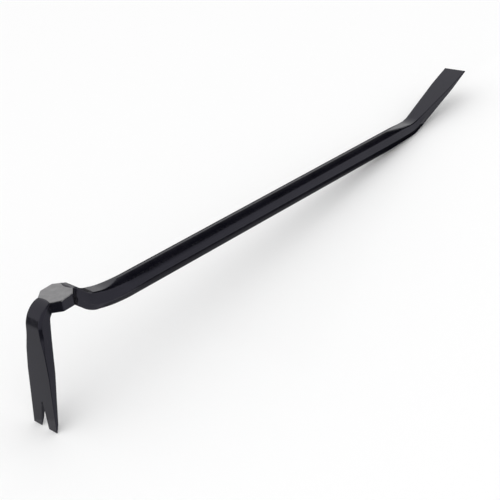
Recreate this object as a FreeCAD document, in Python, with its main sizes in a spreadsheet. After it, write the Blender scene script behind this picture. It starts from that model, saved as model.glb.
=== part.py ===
"""Pry bar: one forging with a bent nail claw, a striking face, a gooseneck, an octagon shank and a chisel.

The bar is drawn in its own frame: the shank's axis is the X axis, the shank starts at X = 0 and runs to the
chisel, Z is up and the bar is the same on both sides of the plane Y = 0. Each zone of the forging is its own
body, and the zones meet face to face. The last step lays the bar down on its claw tips and chisel neck.
"""

import FreeCAD, Part
import math
import os

import Sketcher

# Driving sizes in millimetres and degrees. Heights are measured from the shank's axis.
SIZES = {
    "shank_across_flats": 19.7,
    "shank_length": 360.0,
    # striking face, on top of the head
    "face_back": 57.2,  # from the start of the shank back to the rear end of the face
    "face_length": 23.3,
    "face_height": 26.3,  # at the rear end
    "face_slope": 5.4,
    "face_end_width": 14.8,
    "face_width": 27.6,
    "face_rear_width": 26.2,
    "face_front_flare": 7.4,
    "face_rear_flare": 4.5,
    "face_front_hollow": 1.3,
    "face_rear_hollow": 2.0,
    "ground_depth": 1.2,
    "head_underside": 14.4,
    "head_overhang": 4.3,
    # claw
    "claw_drop": 81.5,
    "claw_outer_lean": 5.25,
    "claw_inner_lean": 10.7,
    "claw_outer_back": 96.4,  # outer face, where it passes the height of the shank's axis
    "claw_thickness": 9.85,  # at the same height
    "heel_inner_radius": 4.0,
    "heel_centre_back": 75.3,  # of the bend's outer curve
    "heel_centre_height": 4.1,
    "heel_bevel": 2.2,
    "least_bevel": 0.3,
    "heel_shoulder_width": 20.2,
    "claw_waist_width": 21.6,
    "bevel_end_drop": 14.0,
    "bevel_end_width": 24.2,
    "claw_broad_drop": 32.0,
    "claw_broad_width": 28.0,
    "claw_tip_width": 30.4,
    "claw_tip_thickness": 0.8,
    "tip_bevel_height": 6.0,
    "slot_depth": 23.3,
    "slot_mouth_width": 9.6,
    "slot_root_width": 1.6,
    "tine_length": 26.0,
    # gooseneck
    "neck_thickness": 14.5,
    "neck_under_swell": 1.1,  # extra thickness below, where the neck levels out
    "neck_slope": 43.0,
    "neck_crest_run": 3.7,
    "neck_crest_drop": 0.9,
    "neck_crest_radius": 3.0,
    "neck_top_radius": 16.0,
    "neck_under_radius": 30.0,
    "neck_end_slope": 15.0,
    "shoulder_bend_radius": 132.0,
    "side_ridge_drop": 3.0,  # of the ridge on each side, where it starts
    "least_flat": 0.3,
    # chisel
    "chisel_flatten_length": 36.0,
    "chisel_bend_radius": 48.0,
    "chisel_slope": 22.8,
    "chisel_root_thickness": 11.8,
    "chisel_length": 87.8,
    "chisel_broad_length": 60.0,
    "chisel_broad_width": 24.8,
    "chisel_tip_width": 26.0,
    "chisel_tip_thickness": 1.2,
    "cutter_reach": 60.0,  # how far the cutting outlines reach beyond the middle plane
    # how the bar lies when it is put down
    "rest_slope": 8.55,
    "rest_forward": -190.5,
    "rest_lift": 65.27,
}

RIDGE = "(Sizes.shank_across_flats / 2 / cos(22.5))"  # from the axis to an edge of the octagon
CORNER = f"({RIDGE} * cos(45))"  # how far the edges beside it stand out, sideways and upwards
SWELL = f"({RIDGE} - {CORNER})"
NECK_HALF = "Sizes.neck_thickness / 2"
NECK_UNDER = f"({NECK_HALF} + Sizes.neck_under_swell)"
BEYOND = "Sizes.cutter_reach"
FACET_SLOPE = "tan(22.5)"

doc = FreeCAD.newDocument("PryBar")


def make_sizes():
    """The spreadsheet that drives every body."""
    sheet = doc.addObject("Spreadsheet::Sheet", "Sizes")
    for row, (alias, value) in enumerate(SIZES.items(), start=1):
        sheet.set(f"A{row}", alias.replace("_", " "))
        sheet.set(f"B{row}", str(value))
        sheet.setAlias(f"B{row}", alias)
    doc.recompute()


def make_body(name):
    """An empty body whose placement lays it down with the rest of the bar."""
    body = doc.addObject("PartDesign::Body", name)
    body.Label = name
    body.Placement = FreeCAD.Placement(
        FreeCAD.Vector(0, 0, 0), FreeCAD.Rotation(FreeCAD.Vector(0, 1, 0), 1)
    )
    body.setExpression("Placement.Rotation.Angle", "Sizes.rest_slope")
    body.setExpression("Placement.Base.x", "Sizes.rest_forward")
    body.setExpression("Placement.Base.z", "Sizes.rest_lift")
    return body


def make_sketch(body, name, role):
    """An empty sketch on one of the body's origin planes."""
    sketch = body.newObject("Sketcher::SketchObject", name)
    plane = [f for f in body.Origin.OriginFeatures if f.Role == role][0]
    sketch.AttachmentSupport = (plane, [""])
    sketch.MapMode = "FlatFace"
    return sketch


def add_loop(sketch, corners):
    """A closed outline of straight lines. Each corner is a pair of expressions, fixed from the origin."""
    first = sketch.GeometryCount
    count = len(corners)
    ring = [
        FreeCAD.Vector(math.cos(2 * math.pi * i / count), math.sin(2 * math.pi * i / count), 0)
        for i in range(count)
    ]
    for i in range(count):
        sketch.addGeometry(Part.LineSegment(ring[i], ring[(i + 1) % count]), False)
    for i in range(count):
        following = first + (i + 1) % count
        sketch.addConstraint(Sketcher.Constraint("Coincident", first + i, 2, following, 1))
    for i, corner in enumerate(corners):
        for kind, expression in zip(("DistanceX", "DistanceY"), corner):
            index = sketch.addConstraint(Sketcher.Constraint(kind, -1, 1, first + i, 1, 1.0))
            sketch.setExpression(f"Constraints[{index}]", expression)
    doc.recompute()


def make_pad(body, name, sketch, width):
    """Extrude a side view by the same amount to each side of the plane Y = 0."""
    pad = body.newObject("PartDesign::Pad", name)
    pad.Profile = sketch
    pad.SideType = "Symmetric"
    pad.setExpression("Length", width)
    sketch.Visibility = False
    doc.recompute()
    return pad


def cut_through(body, name, sketch):
    """Remove the sketch's loops from the body, all the way through both sides."""
    pocket = body.newObject("PartDesign::Pocket", name)
    pocket.Profile = sketch
    pocket.SideType = "Symmetric"
    pocket.Type = "ThroughAll"
    sketch.Visibility = False
    doc.recompute()
    return pocket


def lay_section(body, name, along, height, slope, half):
    """A section across the bar. half lists its corners (across, up) from the top down to the middle plane."""
    sketch = make_sketch(body, name, "YZ_Plane")
    sketch.AttachmentOffset = FreeCAD.Placement(
        FreeCAD.Vector(0, 0, 0), FreeCAD.Rotation(FreeCAD.Vector(1, 0, 0), 1)
    )
    sketch.setExpression("AttachmentOffset.Rotation.Angle", f"-({slope})")
    sketch.setExpression("AttachmentOffset.Base.z", along)
    sketch.setExpression("AttachmentOffset.Base.y", height)
    other_half = mirrored([corner for corner in half[::-1] if corner[0] != "0"])
    add_loop(sketch, half + other_half)
    sketch.Visibility = False
    return sketch


def mirrored(corners):
    """The same corners on the other side of the plane Y = 0, in a view whose first axis is Y."""
    return [(f"-({across})", up) for across, up in corners]


def make_loft(body, name, sections):
    """A body whose faces run straight from each section to the next."""
    loft = body.newObject("PartDesign::AdditiveLoft", name)
    loft.Profile = sections[0]
    loft.Sections = sections[1:]
    loft.Ruled = True
    doc.recompute()
    return loft


def ease(share):
    """Zero to one with a level start and end."""
    return share * share * (3 - 2 * share)


def round_edge(body, base, name, at_x, at_z, radius):
    """Fillet the straight edge that runs across the bar nearest to a point of the side view."""
    target = FreeCAD.Vector(at_x, 0, at_z)
    across = []
    for number, edge in enumerate(base.Shape.Edges, start=1):
        middle = edge.CenterOfMass
        along = edge.tangentAt(edge.FirstParameter)
        if abs(along.y) > 0.99:
            across.append(((middle - target).Length, f"Edge{number}"))
    fillet = body.newObject("PartDesign::Fillet", name)
    fillet.Base = (base, [min(across)[1]])
    fillet.setExpression("Radius", radius)
    base.Visibility = False
    doc.recompute()
    return fillet


# Places in the side view, as pairs of expressions (along the bar, above the shank's axis).
FACE_REAR = ("-Sizes.face_back", "Sizes.face_height")
FACE_FRONT = (
    "-(Sizes.face_back + Sizes.face_length)",
    "(Sizes.face_height - Sizes.face_length * tan(Sizes.face_slope))",
)
UNDER_REAR = ("-(Sizes.face_back + Sizes.head_overhang)", "Sizes.head_underside")
UNDER_FRONT = (FACE_FRONT[0], "Sizes.head_underside")
NECK_END_TOP = (
    f"-(Sizes.shoulder_bend_radius - {NECK_HALF}) * sin(Sizes.neck_end_slope)",
    f"(Sizes.shoulder_bend_radius - (Sizes.shoulder_bend_radius - {NECK_HALF})"
    " * cos(Sizes.neck_end_slope))",
)
NECK_END_UNDER = (
    f"-(Sizes.shoulder_bend_radius + {NECK_UNDER}) * sin(Sizes.neck_end_slope)",
    f"(Sizes.shoulder_bend_radius - (Sizes.shoulder_bend_radius + {NECK_UNDER})"
    " * cos(Sizes.neck_end_slope))",
)
CHISEL_BEND_START = "(Sizes.shank_length + Sizes.chisel_flatten_length)"
BLADE_ROOT = (
    f"({CHISEL_BEND_START} + Sizes.chisel_bend_radius * sin(Sizes.chisel_slope))",
    "(Sizes.chisel_bend_radius * (1 - cos(Sizes.chisel_slope)))",
)


def outer_claw(height):
    """A point of the claw's outer face at a height, which leans away from the shank."""
    return (f"-Sizes.claw_outer_back + tan(Sizes.claw_outer_lean) * ({height})", height)


def inner_claw(height):
    """A point of the claw's inner face at a height."""
    root = "-Sizes.claw_outer_back + Sizes.claw_thickness"
    return (f"{root} + tan(Sizes.claw_inner_lean) * ({height})", height)


def make_claw_side(body, corners):
    """A piece of the claw from its side view, as wide as the claw tips."""
    side = make_sketch(body, body.Name + "_side", "XZ_Plane")
    add_loop(side, corners)
    return make_pad(body, body.Name + "_solid", side, "Sizes.claw_tip_width + 2")


def claw_flank(corners):
    """A loop outside the claw in the front view, whose inner edge follows the corners (half width, height)."""
    return corners + [(BEYOND, corners[-1][1]), (BEYOND, corners[0][1])]


TIP_HEIGHT = "-Sizes.claw_drop"
SPLIT_HEIGHT = "(Sizes.tine_length - Sizes.claw_drop)"
SLOT_ROOT = ("Sizes.slot_root_width / 2", "(Sizes.slot_depth - Sizes.claw_drop)")
SLOT_MOUTH = ("Sizes.slot_mouth_width / 2", TIP_HEIGHT)
HEEL_INNER_CENTRE = (FACE_FRONT[0], "(Sizes.head_underside - Sizes.heel_inner_radius)")
HEEL_OUTER_CENTRE = ("-Sizes.heel_centre_back", "Sizes.heel_centre_height")
WAIST = ("Sizes.claw_waist_width / 2", "0")
BROAD = ("Sizes.claw_broad_width / 2", "-Sizes.claw_broad_drop")
TIP_CORNER = ("Sizes.claw_tip_width / 2", TIP_HEIGHT)


def make_tine(name, side):
    """One of the claw's two prongs: side is 1 for the prong at positive Y and -1 for the other.

    The prongs meet on the plane Y = 0 above the closed end of the nail slot.
    """
    body = make_body(name)
    tip_outer = outer_claw(TIP_HEIGHT)
    tip_inner = (tip_outer[0] + " + Sizes.claw_tip_thickness", TIP_HEIGHT)
    bevel_top = inner_claw("(Sizes.tip_bevel_height - Sizes.claw_drop)")
    make_claw_side(
        body,
        [outer_claw(SPLIT_HEIGHT), tip_outer, tip_inner, bevel_top, inner_claw(SPLIT_HEIGHT)],
    )
    outside = claw_flank([BROAD, TIP_CORNER])
    slot_side = [
        ("0", SPLIT_HEIGHT),
        ("0", SLOT_ROOT[1]),
        SLOT_ROOT,
        SLOT_MOUTH,
        (f"-{BEYOND}", TIP_HEIGHT),
        (f"-{BEYOND}", SPLIT_HEIGHT),
    ]
    front = make_sketch(body, name + "_front", "YZ_Plane")
    for loop in (outside, slot_side):
        add_loop(front, loop if side > 0 else mirrored(loop))
    cut_through(body, name + "_cut", front)
    return body


def bevelled_loop(outer, inner, half_width, bevel, inward):
    """Six corners (from outer face to inner face, across) with the outer two bevelled.

    inward is the sign of the way from the outer face to the inner one.
    """
    return [
        (outer, f"{half_width} - {bevel}"),
        (f"{outer} + ({inward}) * {bevel}", half_width),
        (inner, half_width),
        (inner, f"-({half_width})"),
        (f"{outer} + ({inward}) * {bevel}", f"-({half_width})"),
        (outer, f"-({half_width} - {bevel})"),
    ]


def claw_level(body, name, height, half_width, bevel):
    """A section of the claw on a level plane."""
    level = make_sketch(body, name, "XY_Plane")
    level.setExpression("AttachmentOffset.Base.z", height)
    outer = outer_claw(height)[0]
    inner = inner_claw(height)[0]
    add_loop(level, bevelled_loop(outer, inner, half_width, bevel, 1))
    level.Visibility = False
    return level


def heel_section(body, name, turn, half_width, bevel):
    """A section of the heel on a plane through the inner bend's centre, turned down by an angle."""
    sketch = make_sketch(body, name, "YZ_Plane")
    x_inner, z_inner = HEEL_INNER_CENTRE
    x_outer, z_outer = HEEL_OUTER_CENTRE
    sketch.AttachmentOffset = FreeCAD.Placement(
        FreeCAD.Vector(0, 0, 0), FreeCAD.Rotation(FreeCAD.Vector(1, 0, 0), 1)
    )
    sketch.setExpression("AttachmentOffset.Rotation.Angle", f"-{turn}")
    sketch.setExpression("AttachmentOffset.Base.z", x_inner)
    sketch.setExpression("AttachmentOffset.Base.y", z_inner)
    ahead = f"({x_outer} - ({x_inner}))"
    above = f"({z_outer} - ({z_inner}))"
    reach = f"({above} * cos({turn}) - {ahead} * sin({turn}))"
    radius = f"(({x_outer} - ({FACE_FRONT[0]}))^2 + ({z_outer} - {FACE_FRONT[1]})^2)"
    outer = f"({reach} + sqrt({reach}^2 - {ahead}^2 - {above}^2 + {radius}))"
    loop = bevelled_loop(outer, "Sizes.heel_inner_radius", half_width, bevel, -1)
    add_loop(sketch, [(across, up) for up, across in loop])
    sketch.Visibility = False
    return sketch


def make_claw_heel():
    """The right-angle bend between the head and the claw. It widens fast at first, and its outer edges are
    bevelled."""
    body = make_body("claw_heel")
    end = "Sizes.face_end_width / 2"
    shoulder = "Sizes.heel_shoulder_width / 2"
    sections = []
    for turn in range(0, 91, 15):
        half_width = f"({end} + ({shoulder} - {end}) * sqrt(sin({turn})))"
        bevel = f"(Sizes.least_bevel + (Sizes.heel_bevel - Sizes.least_bevel) * sin({turn}))"
        sections.append(heel_section(body, f"heel_at_{turn}", turn, half_width, bevel))
    sections.append(claw_level(body, "heel_waist", "0", WAIST[0], "Sizes.heel_bevel"))
    make_loft(body, "claw_heel_loft", sections)
    return body


def make_claw_blade():
    """The claw between the heel and the prongs."""
    body = make_body("claw_blade")
    flare = f"({TIP_CORNER[0]} - {BROAD[0]}) / (Sizes.claw_drop - Sizes.claw_broad_drop)"
    split_half = f"({BROAD[0]} + {flare} * (-{SPLIT_HEIGHT} - Sizes.claw_broad_drop))"
    least = "Sizes.least_bevel"
    sections = [
        claw_level(body, "waist", "0", WAIST[0], "Sizes.heel_bevel"),
        claw_level(body, "bevel_end", "-Sizes.bevel_end_drop", "Sizes.bevel_end_width / 2", least),
        claw_level(body, "broad", BROAD[1], BROAD[0], least),
        claw_level(body, "split", SPLIT_HEIGHT, split_half, least),
    ]
    make_loft(body, "claw_blade_loft", sections)
    return body


def head_sides(body):
    """Trim a piece of the head to the face's outline, seen from above."""
    x_front = FACE_FRONT[0]
    x_rear = FACE_REAR[0]
    outline = [
        (x_front, "Sizes.face_end_width / 2"),
        (x_front + " + Sizes.face_front_flare", "Sizes.face_width / 2"),
        (x_rear + " - Sizes.face_rear_flare", "Sizes.face_rear_width / 2"),
        (x_rear, "Sizes.face_end_width / 2"),
        (x_rear, BEYOND),
        (x_front, BEYOND),
    ]
    above = make_sketch(body, body.Name + "_above", "XY_Plane")
    add_loop(above, outline)
    add_loop(above, [(along, f"-({across})") for along, across in outline])
    return cut_through(body, body.Name + "_sides", above)


def hollow_end(body, name, x_end, hollow, towards):
    """Cut a shallow round bite from an end of the face. towards is 1 where the bite goes to positive X."""
    half = "Sizes.face_end_width / 2"
    radius = f"(({half})^2 + {hollow}^2) / (2 * {hollow})"
    bite = make_sketch(body, name + "_outline", "XY_Plane")
    bite.addGeometry(Part.Circle(FreeCAD.Vector(0, 0, 0), FreeCAD.Vector(0, 0, 1), 1), False)
    index = bite.addConstraint(Sketcher.Constraint("Radius", 0, 1.0))
    bite.setExpression(f"Constraints[{index}]", radius)
    index = bite.addConstraint(Sketcher.Constraint("DistanceX", -1, 1, 0, 3, 1.0))
    bite.setExpression(f"Constraints[{index}]", f"{x_end} + {towards} * ({hollow} - {radius})")
    bite.addConstraint(Sketcher.Constraint("PointOnObject", 0, 3, -1))
    doc.recompute()
    return cut_through(body, name, bite)


def make_striking_face():
    """The ground bare-steel skin on top of the head, hollowed at both ends."""
    body = make_body("striking_face")
    side = make_sketch(body, "striking_face_side", "XZ_Plane")
    below = [(along, f"{up} - Sizes.ground_depth") for along, up in (FACE_REAR, FACE_FRONT)]
    add_loop(side, [FACE_FRONT, FACE_REAR] + below)
    make_pad(body, "striking_face_solid", side, "Sizes.face_width + 2")
    head_sides(body)
    hollow_end(body, "front_hollow", FACE_FRONT[0], "Sizes.face_front_hollow", 1)
    hollow_end(body, "rear_hollow", FACE_REAR[0], "Sizes.face_rear_hollow", -1)
    return body


def make_striking_head(face):
    """The flared block under the striking face, let in for it."""
    body = make_body("head_block")
    side = make_sketch(body, "striking_head_side", "XZ_Plane")
    add_loop(side, [FACE_FRONT, FACE_REAR, UNDER_REAR, UNDER_FRONT])
    make_pad(body, "striking_head_solid", side, "Sizes.face_width + 2")
    head_sides(body)
    head = doc.addObject("Part::Cut", "striking_head")
    head.Base = body
    head.Tool = face
    doc.recompute()
    return head


def corner_place(sketch, number):
    """Where the numbered corner of a sketch's only loop is."""
    return sketch.Geometry[number].StartPoint


def dive_end(start, end):
    """Where the line that dives from start meets the line that leads to the neck's end."""
    dive = "tan(Sizes.neck_slope)"
    level = "tan(Sizes.neck_end_slope)"
    rise = f"(({start[1]}) - ({end[1]}) - {level} * (({end[0]}) - ({start[0]})))"
    run = f"({rise} / ({dive} - {level}))"
    return (f"{start[0]} + {run}", f"{start[1]} - {dive} * {run}")


def make_gooseneck():
    """The square bar that dives from the head and levels out towards the shank."""
    body = make_body("gooseneck")
    crest = (
        f"{FACE_REAR[0]} + Sizes.neck_crest_run",
        f"{FACE_REAR[1]} - Sizes.neck_crest_drop",
    )
    top_bend = dive_end(crest, NECK_END_TOP)
    under_bend = dive_end(UNDER_REAR, NECK_END_UNDER)
    side = make_sketch(body, "gooseneck_side", "XZ_Plane")
    add_loop(side, [FACE_REAR, crest, top_bend, NECK_END_TOP, NECK_END_UNDER, under_bend, UNDER_REAR])
    solid = make_pad(body, "gooseneck_solid", side, f"2 * {CORNER}")
    bends = [
        (corner_place(side, 1), "Sizes.neck_crest_radius"),
        (corner_place(side, 2), "Sizes.neck_top_radius"),
        (corner_place(side, 5), "Sizes.neck_under_radius"),
    ]
    for number, (place, radius) in enumerate(bends):
        solid = round_edge(body, solid, f"gooseneck_bend_{number}", place.x, place.y, radius)
    return body


def bar_section(top, flat, side_ridge, side_drop, under, under_ridge):
    """Half of a section of the bar: a flat top, sloping shoulders, a ridged side and a ridged underside."""
    high = f"({top} - ({CORNER} - {flat}) * {FACET_SLOPE})"
    return [
        (flat, top),
        (CORNER, high),
        (f"({CORNER} + {side_ridge})", f"-({side_drop})"),
        (CORNER, f"-({under})"),
        ("0", f"-({under} + {under_ridge})"),
    ]


def make_neck_shoulder():
    """The run where the square neck swells into the octagon, on a long bend. Its flat top narrows to a point."""
    body = make_body("neck_shoulder")
    steps = 8
    flat_steps = 6
    sections = []
    for step in range(steps + 1):
        share = step / steps
        flat_share = min(step / flat_steps, 1)
        turn = f"(Sizes.neck_end_slope * {1 - share:.4f})"
        flat = f"(Sizes.least_flat + ({CORNER} - 2 * Sizes.least_flat) * {1 - flat_share**2:.4f})"
        high = f"({NECK_HALF} + ({CORNER} - {NECK_HALF}) * {ease(flat_share):.4f})"
        half = bar_section(
            f"({high} + ({CORNER} - {flat}) * {FACET_SLOPE})",
            flat,
            f"{SWELL} * {1 - (1 - share) ** 3:.4f}",
            f"Sizes.side_ridge_drop * {1 - share:.4f}",
            f"({NECK_UNDER} + ({CORNER} - {NECK_UNDER}) * {share:.4f})",
            f"{SWELL} * {ease(share):.4f}",
        )
        sections.append(
            lay_section(
                body,
                f"shoulder_{step}",
                f"-Sizes.shoulder_bend_radius * sin({turn})",
                f"Sizes.shoulder_bend_radius * (1 - cos({turn}))",
                f"-{turn}",
                half,
            )
        )
    make_loft(body, "shoulder_loft", sections)
    return body


def make_shank():
    """The straight octagon bar, which stands on an edge of the octagon."""
    body = make_body("shank")
    half = [
        ("0", RIDGE),
        (CORNER, CORNER),
        (RIDGE, "0"),
        (CORNER, f"-({CORNER})"),
        ("0", f"-({RIDGE})"),
    ]
    section = lay_section(body, "octagon", "0", "0", "0", half)
    pad = body.newObject("PartDesign::Pad", "octagon_bar")
    pad.Profile = section
    pad.setExpression("Length", "Sizes.shank_length")
    doc.recompute()
    return body


def chisel_half(run_share, under_share):
    """Half of a section of the chisel's neck. The shares say how far along the whole run it lies and how far
    its underside has flattened. The top's flat widens fast, then more slowly."""
    root = "Sizes.chisel_root_thickness / 2"
    knee, knee_width = 0.43, 0.6
    if run_share < knee:
        width = knee_width * run_share / knee
    else:
        width = knee_width + (1 - knee_width) * (run_share - knee) / (1 - knee)
    return bar_section(
        f"({RIDGE} + ({root} - {RIDGE}) * {run_share:.4f})",
        f"(Sizes.least_flat + ({CORNER} - 2 * Sizes.least_flat) * {width:.4f})",
        f"{SWELL} * {1 - run_share**3:.4f}",
        "0",
        f"({CORNER} - ({CORNER} - {root}) * {ease(under_share):.4f})",
        f"{SWELL} * {1 - ease(under_share):.4f}",
    )


def make_chisel_neck():
    """The run where the octagon flattens, then bends up into the chisel."""
    body = make_body("chisel_neck")
    bend_length = SIZES["chisel_bend_radius"] * math.radians(SIZES["chisel_slope"])
    straight = SIZES["chisel_flatten_length"] / (SIZES["chisel_flatten_length"] + bend_length)
    steps = 4
    sections = []
    for step in range(steps):
        share = step / steps
        sections.append(
            lay_section(
                body,
                f"flatten_{step}",
                f"Sizes.shank_length + Sizes.chisel_flatten_length * {share:.4f}",
                "0",
                "0",
                chisel_half(straight * share, share),
            )
        )
    for step in range(steps + 1):
        share = step / steps
        turn = f"(Sizes.chisel_slope * {share:.4f})"
        sections.append(
            lay_section(
                body,
                f"bend_{step}",
                f"{CHISEL_BEND_START} + Sizes.chisel_bend_radius * sin({turn})",
                f"Sizes.chisel_bend_radius * (1 - cos({turn}))",
                turn,
                chisel_half(straight + (1 - straight) * share, 1),
            )
        )
    make_loft(body, "chisel_neck_loft", sections)
    return body


def along_chisel(distance, above):
    """A point of the side view at a distance along the blade's middle line and a height above that line."""
    lean = "Sizes.chisel_slope"
    return (
        f"{BLADE_ROOT[0]} + ({distance}) * cos({lean}) - ({above}) * sin({lean})",
        f"{BLADE_ROOT[1]} + ({distance}) * sin({lean}) + ({above}) * cos({lean})",
    )


def make_chisel_blade():
    """The flat wedge that widens to a straight edge."""
    body = make_body("chisel_blade")
    root = "Sizes.chisel_root_thickness / 2"
    tip = "Sizes.chisel_tip_thickness / 2"
    length = "Sizes.chisel_length"
    side = make_sketch(body, "chisel_blade_side", "XZ_Plane")
    add_loop(
        side,
        [
            along_chisel("0", root),
            along_chisel("0", f"-{root}"),
            along_chisel(length, f"-{tip}"),
            along_chisel(length, tip),
        ],
    )
    make_pad(body, "chisel_blade_solid", side, "Sizes.chisel_tip_width + 2")
    flank = [
        (f"{BLADE_ROOT[0]} - {root}", CORNER),
        (along_chisel("Sizes.chisel_broad_length", "0")[0], "Sizes.chisel_broad_width / 2"),
        (f"{along_chisel(length, '0')[0]} + {tip}", "Sizes.chisel_tip_width / 2"),
        (f"{along_chisel(length, '0')[0]} + {tip}", BEYOND),
        (f"{BLADE_ROOT[0]} - {root}", BEYOND),
    ]
    above = make_sketch(body, "chisel_blade_above", "XY_Plane")
    add_loop(above, flank)
    add_loop(above, [(along, f"-({across})") for along, across in flank])
    cut_through(body, "chisel_blade_sides", above)
    return body


def check(part):
    """Stop at a part that did not build."""
    if "Invalid" in part.State or "Error" in part.State:
        raise RuntimeError(f"{part.Label} did not recompute: {part.State}")
    if part.Shape.isNull() or not part.Shape.isValid():
        raise RuntimeError(f"{part.Label} has no valid shape")
    if len(part.Shape.Solids) != 1:
        raise RuntimeError(f"{part.Label} has {len(part.Shape.Solids)} solids")


def main():
    """Build every zone of the bar and write one STEP file for each."""
    make_sizes()
    face = make_striking_face()
    parts = [
        make_tine("left_tine", 1),
        make_tine("right_tine", -1),
        make_claw_blade(),
        make_claw_heel(),
        make_striking_head(face),
        face,
        make_gooseneck(),
        make_neck_shoulder(),
        make_shank(),
        make_chisel_neck(),
        make_chisel_blade(),
    ]
    doc.recompute()
    os.makedirs("parts", exist_ok=True)
    for part in parts:
        check(part)
        part.Shape.exportStep(f"parts/{part.Label}.step")
        box = part.Shape.BoundBox
        print(f"{part.Label}: volume {part.Shape.Volume:.0f}, x {box.XMin:.2f} {box.XMax:.2f},"
              f" y {box.YMin:.2f} {box.YMax:.2f}, z {box.ZMin:.2f} {box.ZMax:.2f}")


main()
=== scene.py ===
"""Looks of the pry bar: one skin runs along the whole forging and is cut into the frame's zones.

The skin is a row of stations along the bar. Each station is a flat section across the bar: seven corners from
the middle of its top to the middle of its underside, mirrored to the other side. The bar's sizes are in
millimetres in its own frame, as in the CAD part: the shank's axis is X, the shank starts at X = 0, Z is up.
The studio's sizes are in metres.
"""

import math

import bpy
from mathutils import Matrix, Vector


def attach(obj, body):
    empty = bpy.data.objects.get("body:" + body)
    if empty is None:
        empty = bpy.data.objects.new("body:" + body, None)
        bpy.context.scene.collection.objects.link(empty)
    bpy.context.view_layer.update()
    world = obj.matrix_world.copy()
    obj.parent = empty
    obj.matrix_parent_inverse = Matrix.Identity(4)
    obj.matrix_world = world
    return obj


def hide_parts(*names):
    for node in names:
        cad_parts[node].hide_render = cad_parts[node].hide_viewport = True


MM = 0.001

# How the bar lies at rest: tipped down towards the chisel, then moved.
REST_SLOPE = math.radians(8.55)
REST_FORWARD = -190.5
REST_LIFT = 65.27

# The octagon stock, which stands on an edge. Its upper side corners lie CORNER across and CORNER up.
STOCK = 19.7
RIDGE = STOCK / 2 / math.cos(math.radians(22.5))
CORNER = RIDGE * math.cos(math.radians(45))
SIDE_SWELL = RIDGE - CORNER
FACET_SLOPE = (RIDGE - CORNER) / CORNER
SHANK_LENGTH = 360.0
TOP_EDGE_FLAT = 0.9
TOP_EDGE_HEIGHT = RIDGE - TOP_EDGE_FLAT * FACET_SLOPE

# The head, and the ground face on top of it.
HEAD_FRONT_X = -80.5
HEAD_CORNER_X = -61.7
HEAD_SIDE_END_X = -60.3
HEAD_UNDER_Z = 14.4
HEAD_UNDER_REAR_X = -61.5
HEAD_TOP_GAP = 0.08
HEAD_GAP_RUN = 1.0
HEAD_TOP_EDGE = 0.4
UNDER_EDGE = 0.6
FACE_REAR = (-57.2, 26.3)
FACE_SLOPE = math.tan(math.radians(5.4))
FACE_DEPTH = 1.2
FACE_END_HALF = 7.4
FACE_OUTLINE = [(HEAD_FRONT_X, FACE_END_HALF), (-73.1, 13.8)]
FACE_OUTLINE += [(HEAD_CORNER_X, 13.1), (FACE_REAR[0], FACE_END_HALF)]
FRONT_HOLLOW = 1.3
REAR_HOLLOW = 2.0
FACE_BROKEN_EDGE = 0.15
FACE_LENGTH_STEPS = 40
FACE_WIDTH_STEPS = 32

# The heel: its sections turn about the inner bend's centre, and its outer side is an arc about another.
INNER_CENTRE = (HEAD_FRONT_X, 10.4)
INNER_RADIUS = 4.0
OUTER_CENTRE = (-75.3, 4.1)
HEEL_START_Z = 6.0
HEEL_SIDE_HALF = 10.1
HEEL_TOP_BEVEL = 0.4
HEEL_SIDE_BEVEL = 2.2

# The claw: level sections. The outer and inner face lean, and their X is where they pass Z = 0.
CLAW_OUTER_X = -96.4
CLAW_INNER_X = -86.55
OUTER_LEAN = math.tan(math.radians(5.25))
INNER_LEAN = math.tan(math.radians(10.7))
TIP_Z = -81.5
TIP_BEVEL_Z = -75.5
TIP_THICKNESS = 0.8
SPLIT_Z = -55.5
SLOT_ROOT_Z = -58.2
SLOT_ROOT_RADIUS = 0.8
SLOT_MOUTH_HALF = 4.8
CLAW_EDGE = 0.4
CLAW_HALF_WIDTHS = [(TIP_Z, 15.2), (-32.0, 14.0), (-14.0, 12.1), (0.0, 10.8)]
CLAW_HALF_WIDTHS += [(INNER_CENTRE[1], HEEL_SIDE_HALF)]
CLAW_BEVELS = [(TIP_Z, 0.4), (-14.0, 0.5), (0.0, HEEL_SIDE_BEVEL), (INNER_CENTRE[1], HEEL_SIDE_BEVEL)]

# The gooseneck and the long bend behind it. The side ridge's reach and its drop below the middle go by X.
NECK_EDGE = 1.0
NECK_EDGE_SHARE = 0.15
NECK_HALF = 7.25
NECK_UNDER_SWELL = 1.1
NECK_TURN = math.radians(15.0)
NECK_CREST = (-53.5, 25.4)
DIVE_SLOPE = math.tan(math.radians(43.0))
OVER_RADII = [3.0, 16.0]
UNDER_RADII = [30.0]
SHOULDER_RADIUS = 132.0
SIDE_RIDGE = [(-47.0, 0.0), (-38.0, 1.05), (-28.0, 2.05), (-16.0, 2.75), (0.0, 3.05), (12.0, SIDE_SWELL)]
SIDE_RIDGE_DIP = [(-58.0, 0.0), (-44.0, 2.4), (-28.0, 3.2), (-16.0, 1.9), (0.0, 0.9), (25.0, 0.0)]
TOP_FLAT_START = -34.2
TOP_FLAT_END = -8.0

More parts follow.
